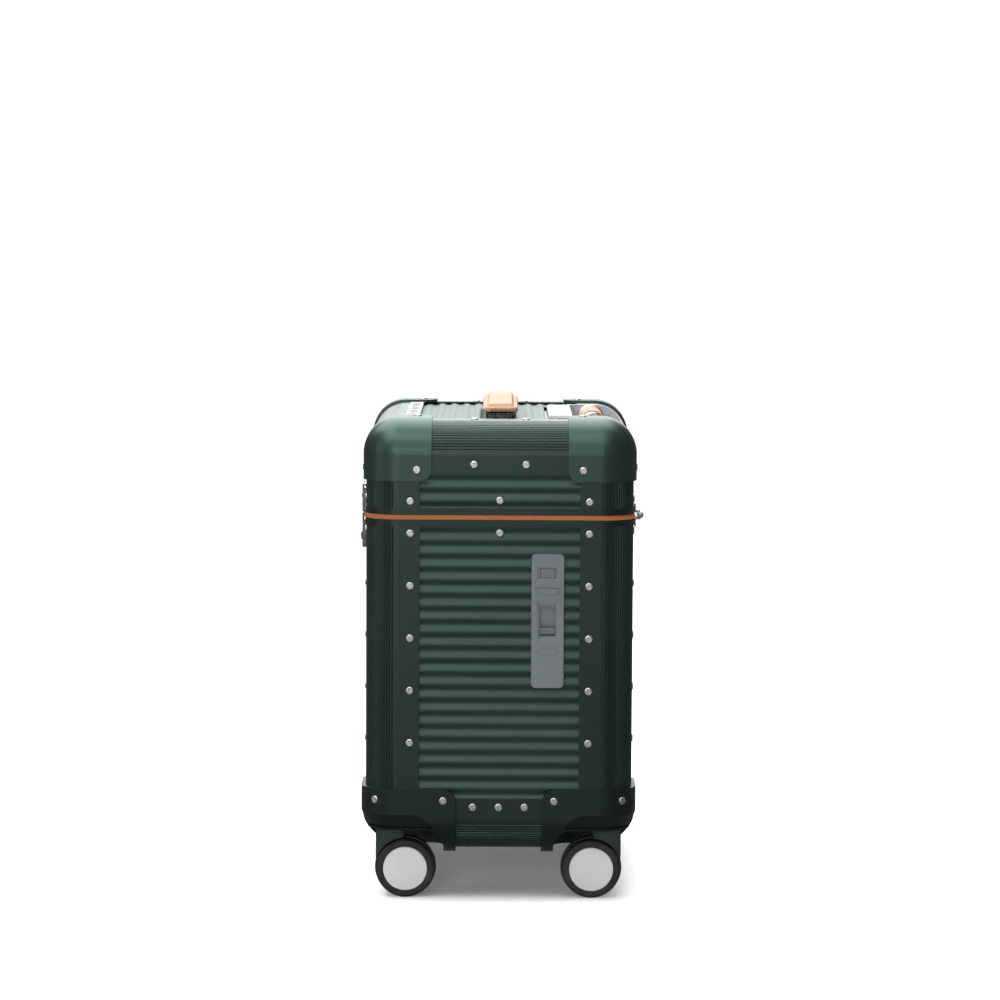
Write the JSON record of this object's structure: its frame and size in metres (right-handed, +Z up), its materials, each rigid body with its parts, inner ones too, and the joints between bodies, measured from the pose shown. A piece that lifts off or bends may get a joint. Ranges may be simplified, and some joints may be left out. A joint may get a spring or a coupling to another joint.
{
  "type": "hard shell trunk suitcase on wheels",
  "caption": "Upright ribbed aluminium travel trunk with riveted edge profiles, hinged lid, leather carry handle, pull-up trolley and swivelling twin-wheel casters.",
  "frame": {"origin": "on the floor under the middle of the case, between the four casters", "axes": "+Z up; -Y is the narrow end with the control plate; +X is the side with the lid hinges and the trolley; -X is the side with the latches"},
  "size_m": [0.2945, 0.41, 0.517],
  "materials": {
    "ribbed_sheet": "satin dark green anodised",
    "edge_profile": "satin dark green anodised",
    "corner_cap": "satin dark green anodised",
    "caster_bracket": "satin dark green moulding",
    "rim": "satin dark green anodised",
    "seam_leather": "smooth tan leather",
    "lining": "woven charcoal lining",
    "rivet_steel": "satin nickel",
    "trolley_plastic": "fine moulded grain",
    "trolley_base_plastic": "moulded",
    "tube_aluminium": "brushed anodised",
    "handle_leather": "smooth natural leather, stitched",
    "control_plastic": "fine moulded grain",
    "button_plastic": "fine moulded grain",
    "latch_chrome": "polished",
    "handle_metal": "satin dark",
    "badge_metal": "brushed",
    "badge_ink": "matte",
    "fork_plastic": "satin dark green moulding",
    "tyre": "smooth polyurethane",
    "hub_cap": "satin silver grey"
  },
  "bodies": {
    "case_body": {"front_panel": "ribbed_sheet", "rear_panel": "ribbed_sheet", "right_panel": "ribbed_sheet", "left_panel": "ribbed_sheet", "bottom_panel": "ribbed_sheet", "corner_posts": "edge_profile", "bottom_edge_profiles": "edge_profile", "caster_brackets": "caster_bracket", "body_rim": "rim", "seam_strip": "seam_leather", "body_lining": "lining", "body_rivets": "rivet_steel", "trolley_tower": "trolley_plastic", "trolley_base": "trolley_base_plastic", "trolley_outer_tubes": "tube_aluminium", "control_plate": "control_plastic", "hinge_body_leaves": "rivet_steel", "hinge_pins": "rivet_steel", "latch_bases": "latch_chrome"},
    "lid": {"hinge_lid_leaves": "rivet_steel", "latch_keepers": "latch_chrome", "lid_front_panel": "ribbed_sheet", "lid_rear_panel": "ribbed_sheet", "lid_left_panel": "ribbed_sheet", "lid_right_panels": "ribbed_sheet", "lid_top_panel": "ribbed_sheet", "lid_posts": "edge_profile", "top_edge_profiles": "edge_profile", "corner_caps": "corner_cap", "lid_rim": "rim", "lid_lining": "lining", "lid_rivets": "rivet_steel", "handle_brackets": "handle_metal", "badge_plate": "badge_metal", "badge_bars": "badge_ink"},
    "carry_handle": {"handle_leather": "handle_leather", "handle_posts": "rivet_steel"},
    "trolley_lower": {"trolley_stage_one_tubes": "tube_aluminium"},
    "trolley_upper": {"trolley_stage_two_tubes": "tube_aluminium", "trolley_grip": "trolley_plastic", "grip_leather": "handle_leather"},
    "release_button": {"release_button": "button_plastic"},
    "push_button": {"push_button": "button_plastic"},
    "slide_catch": {"slide_catch": "button_plastic"},
    "latch_key_front": {"latch_key_front": "latch_chrome"},
    "latch_hook_front": {"latch_hook_front": "latch_chrome"},
    "latch_key_rear": {"latch_key_rear": "latch_chrome"},
    "latch_hook_rear": {"latch_hook_rear": "latch_chrome"},
    "caster_front_left": {"caster_fork_front_left": "fork_plastic"},
    "wheels_front_left": {"caster_tyres_front_left": "tyre", "caster_hubs_front_left": "hub_cap"},
    "caster_front_right": {"caster_fork_front_right": "fork_plastic"},
    "wheels_front_right": {"caster_tyres_front_right": "tyre", "caster_hubs_front_right": "hub_cap"},
    "caster_rear_left": {"caster_fork_rear_left": "fork_plastic"},
    "wheels_rear_left": {"caster_tyres_rear_left": "tyre", "caster_hubs_rear_left": "hub_cap"},
    "caster_rear_right": {"caster_fork_rear_right": "fork_plastic"},
    "wheels_rear_right": {"caster_tyres_rear_right": "tyre", "caster_hubs_rear_right": "hub_cap"}
  },
  "joints": [
    {"name": "lid_hinge", "type": "hinge", "parent": "case_body", "child": "lid", "pos_m": [0.146, 0, 0.4002], "axis": [0, 1, 0], "range_deg": [0, 100]},
    {"name": "handle_lift", "type": "slide", "parent": "lid", "child": "carry_handle", "axis": [0, 0, 1], "range_m": [0, 0.008]},
    {"name": "trolley_lower_slide", "type": "slide", "parent": "case_body", "child": "trolley_lower", "axis": [0, 0, 1], "range_m": [0, 0.25]},
    {"name": "trolley_upper_slide", "type": "slide", "parent": "trolley_lower", "child": "trolley_upper", "axis": [0, 0, 1], "range_m": [0, 0.25]},
    {"name": "release_press", "type": "slide", "parent": "trolley_upper", "child": "release_button", "axis": [0, 1, 0], "range_m": [0, 0.0025], "stiffness_N_per_m": 400, "springref_m": -0.001},
    {"name": "button_press", "type": "slide", "parent": "case_body", "child": "push_button", "axis": [0, 1, 0], "range_m": [0, 0.0018], "stiffness_N_per_m": 300, "springref_m": -0.001},
    {"name": "catch_slide", "type": "slide", "parent": "case_body", "child": "slide_catch", "axis": [0, 0, 1], "range_m": [0, 0.02]},
    {"name": "latch_key_front_turn", "type": "hinge", "parent": "case_body", "child": "latch_key_front", "pos_m": [-0.142, -0.12, 0.378], "axis": [-1, 0, 0], "range_deg": [0, 180]},
    {"name": "latch_hook_front_slide", "type": "slide", "parent": "case_body", "child": "latch_hook_front", "axis": [0, 0, 1], "range_m": [0, 0.006]},
    {"name": "latch_key_rear_turn", "type": "hinge", "parent": "case_body", "child": "latch_key_rear", "pos_m": [-0.142, 0.12, 0.378], "axis": [-1, 0, 0], "range_deg": [0, 180]},
    {"name": "latch_hook_rear_slide", "type": "slide", "parent": "case_body", "child": "latch_hook_rear", "axis": [0, 0, 1], "range_m": [0, 0.006]},
    {"name": "swivel_front_left", "type": "hinge", "parent": "case_body", "child": "caster_front_left", "pos_m": [-0.112, -0.16, 0.074], "axis": [0, 0, 1], "continuous": true},
    {"name": "roll_front_left", "type": "hinge", "parent": "caster_front_left", "child": "wheels_front_left", "pos_m": [-0.097, -0.16, 0.0305], "axis": [0, 1, 0], "continuous": true},
    {"name": "swivel_front_right", "type": "hinge", "parent": "case_body", "child": "caster_front_right", "pos_m": [0.112, -0.16, 0.074], "axis": [0, 0, 1], "continuous": true},
    {"name": "roll_front_right", "type": "hinge", "parent": "caster_front_right", "child": "wheels_front_right", "pos_m": [0.097, -0.16, 0.0305], "axis": [0, 1, 0], "continuous": true},
    {"name": "swivel_rear_left", "type": "hinge", "parent": "case_body", "child": "caster_rear_left", "pos_m": [-0.112, 0.16, 0.074], "axis": [0, 0, 1], "continuous": true},
    {"name": "roll_rear_left", "type": "hinge", "parent": "caster_rear_left", "child": "wheels_rear_left", "pos_m": [-0.097, 0.16, 0.0305], "axis": [0, 1, 0], "continuous": true},
    {"name": "swivel_rear_right", "type": "hinge", "parent": "case_body", "child": "caster_rear_right", "pos_m": [0.112, 0.16, 0.074], "axis": [0, 0, 1], "continuous": true},
    {"name": "roll_rear_right", "type": "hinge", "parent": "caster_rear_right", "child": "wheels_rear_right", "pos_m": [0.097, 0.16, 0.0305], "axis": [0, 1, 0], "continuous": true}
  ],
  "couplings": [
    {"joint": "latch_key_front_turn", "follows": "latch_hook_front_slide", "rad_per_m": 523.6},
    {"joint": "latch_key_rear_turn", "follows": "latch_hook_rear_slide", "rad_per_m": 523.6}
  ]
}
